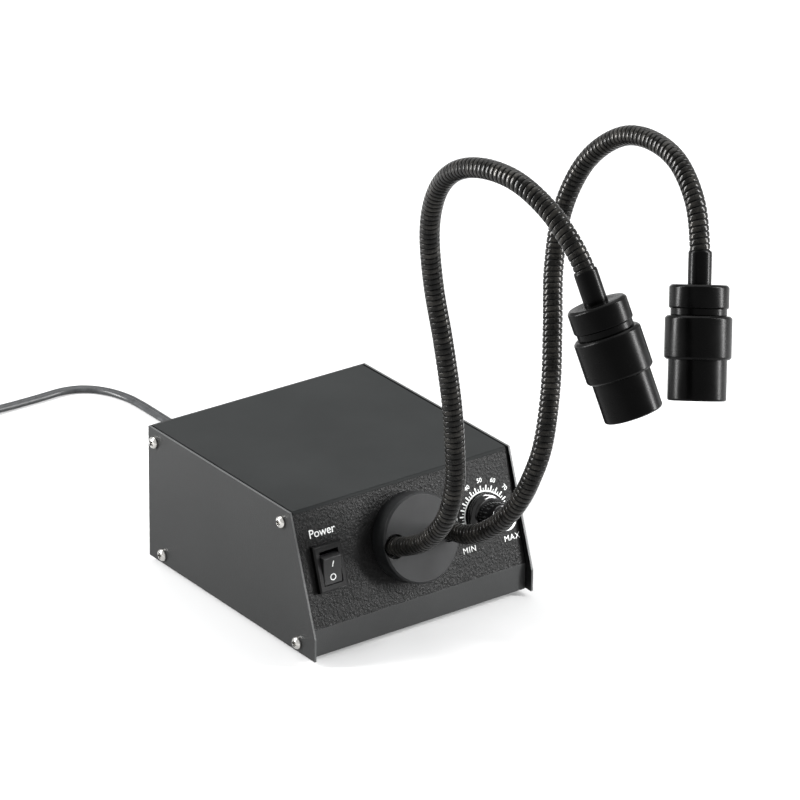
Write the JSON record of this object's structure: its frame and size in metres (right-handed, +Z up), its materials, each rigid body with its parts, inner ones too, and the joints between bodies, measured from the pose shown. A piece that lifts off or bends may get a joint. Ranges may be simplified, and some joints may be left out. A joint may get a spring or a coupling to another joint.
{
  "type": "fibre optic illuminator",
  "caption": "Bench light source in a sloped sheet metal box with rocker switch, dimmer dial and a hub that feeds two swan necks with focusing heads.",
  "frame": {"origin": "middle of the box's footprint, on the table plane under the rubber feet", "axes": "+X to the box's right, -Y out of its sloping front, +Z up"},
  "size_m": [0.1689, 0.572, 0.2567],
  "materials": {
    "black_sheet_metal": "satin powder coat",
    "grained_panel": "grained",
    "bright_screw": "nickel plated",
    "plain_steel": "zinc plated",
    "black_plastic": "gloss",
    "matt_plastic": "matt",
    "soft_rubber": "matt",
    "black_anodised": "black anodised",
    "hose_metal": "satin black",
    "bare_aluminium": "machined",
    "clear_glass": "polished",
    "fibres": "bundled",
    "circuit_board": "solder mask",
    "led_ceramic": "matt",
    "component_mix": "matt",
    "brass_standoff": "turned"
  },
  "bodies": {
    "housing": {"left_side_plate": "black_sheet_metal", "right_side_plate": "black_sheet_metal", "top_cover": "black_sheet_metal", "front_panel": "grained_panel", "rear_panel": "black_sheet_metal", "base_plate": "black_sheet_metal", "side_screws": "bright_screw", "rubber_feet": "soft_rubber", "foot_screws": "plain_steel", "switch_body": "matt_plastic", "dimmer_potentiometer": "plain_steel", "potentiometer_nut": "plain_steel", "light_guide_hub": "matt_plastic", "hub_clamp_plate": "plain_steel", "hub_screws": "plain_steel", "fibre_bundle": "fibres", "bundle_tip": "bare_aluminium", "lens_holder": "bare_aluminium", "condenser_lens": "clear_glass", "led_module": "led_ceramic", "heat_sink": "bare_aluminium", "lamp_bracket": "plain_steel", "fan_frame": "matt_plastic", "fan_screws": "plain_steel", "driver_board": "circuit_board", "board_parts": "component_mix", "board_standoffs": "brass_standoff", "board_screws": "plain_steel", "strain_relief": "soft_rubber", "mains_lead": "soft_rubber", "lead_coil": "soft_rubber", "coil_tie": "matt_plastic", "mains_plug": "matt_plastic", "left_neck_1": "hose_metal", "right_neck_1": "hose_metal"},
    "rocker": {"switch_rocker": "black_plastic"},
    "dimmer": {"potentiometer_shaft": "plain_steel", "dimmer_knob": "black_plastic", "knob_set_screw": "plain_steel"},
    "fan": {"fan_rotor": "matt_plastic"},
    "left_length_2": {"left_neck_2": "hose_metal"},
    "left_length_3": {"left_neck_3": "hose_metal"},
    "left_length_4": {"left_neck_4": "hose_metal"},
    "left_length_5": {"left_neck_5": "hose_metal"},
    "left_length_6": {"left_neck_6": "hose_metal", "left_ferrule": "black_anodised", "left_collar": "black_anodised", "left_barrel": "black_anodised"},
    "left_focus": {"left_focus_tube": "black_anodised", "left_lens": "clear_glass"},
    "right_length_2": {"right_neck_2": "hose_metal"},
    "right_length_3": {"right_neck_3": "hose_metal"},
    "right_length_4": {"right_neck_4": "hose_metal"},
    "right_length_5": {"right_neck_5": "hose_metal"},
    "right_length_6": {"right_neck_6": "hose_metal", "right_ferrule": "black_anodised", "right_collar": "black_anodised", "right_barrel": "black_anodised"},
    "right_focus": {"right_focus_tube": "black_anodised", "right_lens": "clear_glass"}
  },
  "joints": [
    {"name": "rocker_switch", "type": "hinge", "parent": "housing", "child": "rocker", "pos_m": [-0.0448, -0.04961, 0.03902], "axis": [1, 0, 0], "range_deg": [-24, 0]},
    {"name": "dimmer_turn", "type": "hinge", "parent": "housing", "child": "dimmer", "pos_m": [0.0412, -0.0528, 0.04056], "axis": [0, -0.9529, 0.3032], "range_deg": [-60.72, 203.28]},
    {"name": "fan_spin", "type": "hinge", "parent": "housing", "child": "fan", "pos_m": [-0.024, 0.0585, 0.0325], "axis": [0, 1, 0], "continuous": true},
    {"name": "left_nod_1", "type": "hinge", "parent": "housing", "child": "left_length_2", "pos_m": [-0.01465, -0.08423, 0.05697], "axis": [0.9996, -0.0219, 0.0181], "range_deg": [-18, 18]},
    {"name": "left_sway_2", "type": "hinge", "parent": "left_length_2", "child": "left_length_3", "pos_m": [-0.01659, -0.10549, 0.10835], "axis": [0, 0.9999, -0.0112], "range_deg": [-18, 18]},
    {"name": "left_nod_3", "type": "hinge", "parent": "left_length_3", "child": "left_length_4", "pos_m": [-0.02045, -0.09869, 0.16575], "axis": [0.9943, 0.0173, 0.1049], "range_deg": [-18, 18]},
    {"name": "left_sway_4", "type": "hinge", "parent": "left_length_4", "child": "left_length_5", "pos_m": [-0.02743, -0.10184, 0.22249], "axis": [0, 0.9257, 0.3781], "range_deg": [-18, 18]},
    {"name": "left_nod_5", "type": "hinge", "parent": "left_length_5", "child": "left_length_6", "pos_m": [-0.02934, -0.14386, 0.2519], "axis": [0.9984, 0.056, -0.0066], "range_deg": [-18, 18]},
    {"name": "left_focus_slide", "type": "slide", "parent": "left_length_6", "child": "left_focus", "axis": [0.1271, -0.3929, -0.9107], "range_m": [0, 0.005]},
    {"name": "right_nod_1", "type": "hinge", "parent": "housing", "child": "right_length_2", "pos_m": [0.01622, -0.08554, 0.05333], "axis": [0.9954, 0.0783, -0.0557], "range_deg": [-18, 18]},
    {"name": "right_sway_2", "type": "hinge", "parent": "right_length_2", "child": "right_length_3", "pos_m": [0.02277, -0.11485, 0.10102], "axis": [0, 0.9957, 0.0931], "range_deg": [-18, 18]},
    {"name": "right_nod_3", "type": "hinge", "parent": "right_length_3", "child": "right_length_4", "pos_m": [0.03739, -0.10194, 0.15525], "axis": [0.9645, -0.0964, -0.2461], "range_deg": [-18, 18]},
    {"name": "right_sway_4", "type": "hinge", "parent": "right_length_4", "child": "right_length_5", "pos_m": [0.05405, -0.09166, 0.20866], "axis": [0, 0.9614, 0.2752], "range_deg": [-18, 18]},
    {"name": "right_nod_5", "type": "hinge", "parent": "right_length_5", "child": "right_length_6", "pos_m": [0.06159, -0.12985, 0.24131], "axis": [0.9999, 0.0165, -0.0018], "range_deg": [-18, 18]},
    {"name": "right_focus_slide", "type": "slide", "parent": "right_length_6", "child": "right_focus", "axis": [-0.2458, -0.3112, -0.918], "range_m": [0, 0.005]}
  ]
}
